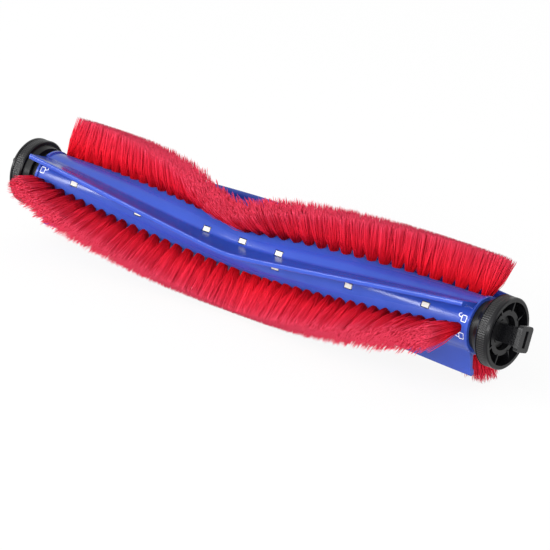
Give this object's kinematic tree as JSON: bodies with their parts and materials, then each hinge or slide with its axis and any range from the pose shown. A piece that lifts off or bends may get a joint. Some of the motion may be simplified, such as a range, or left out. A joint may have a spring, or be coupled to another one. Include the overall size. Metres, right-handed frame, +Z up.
{
  "type": "robot vacuum brush",
  "caption": "Main roller brush for a robot vacuum: V-shaped rubber wiper blades and bristle rows on a core, with knurled twist-lock end caps, a drive peg and a T-shaped bearing block.",
  "frame": {"origin": "the middle of the roller's axis", "axes": "X along the roller's axis with the bearing end at +X and the drive end at -X, -Y to the front, +Z up"},
  "size_m": [0.1828, 0.0402, 0.0393],
  "materials": {
    "sleeve": "satin soft moulding",
    "core": "moulded",
    "bristles": "nylon filament",
    "anchors": "cut strip",
    "plugs": "moulded",
    "caps": "moulded, knurled band",
    "bush": "acetal",
    "block": "moulded",
    "washer": "moulded",
    "clip": "spring steel"
  },
  "bodies": {
    "roller": {"finned_sleeve": "sleeve", "core_tube": "core", "bristle_row_1": "bristles", "bristle_row_2": "bristles", "bristle_row_3": "bristles", "tuft_anchors_1": "anchors", "tuft_anchors_2": "anchors", "tuft_anchors_3": "anchors", "bearing_plug": "plugs", "drive_plug": "plugs"},
    "bearing_end": {"bearing_cap": "caps", "bearing_bush": "bush"},
    "block": {"bearing_block": "block", "thrust_washer": "washer", "retaining_clip": "clip"},
    "drive_end": {"drive_cap": "caps"}
  },
  "joints": [
    {"name": "bearing_cap_twist", "type": "hinge", "parent": "roller", "child": "bearing_end", "pos_m": [0.083, 0, 0], "axis": [-1, 0, 0], "range_deg": [0, 40]},
    {"name": "drive_cap_twist", "type": "hinge", "parent": "roller", "child": "drive_end", "pos_m": [-0.083, 0, 0], "axis": [1, 0, 0], "range_deg": [0, 40]},
    {"name": "bearing_spin", "type": "hinge", "parent": "bearing_end", "child": "block", "pos_m": [0.081, 0, 0], "axis": [1, 0, 0], "continuous": true}
  ]
}
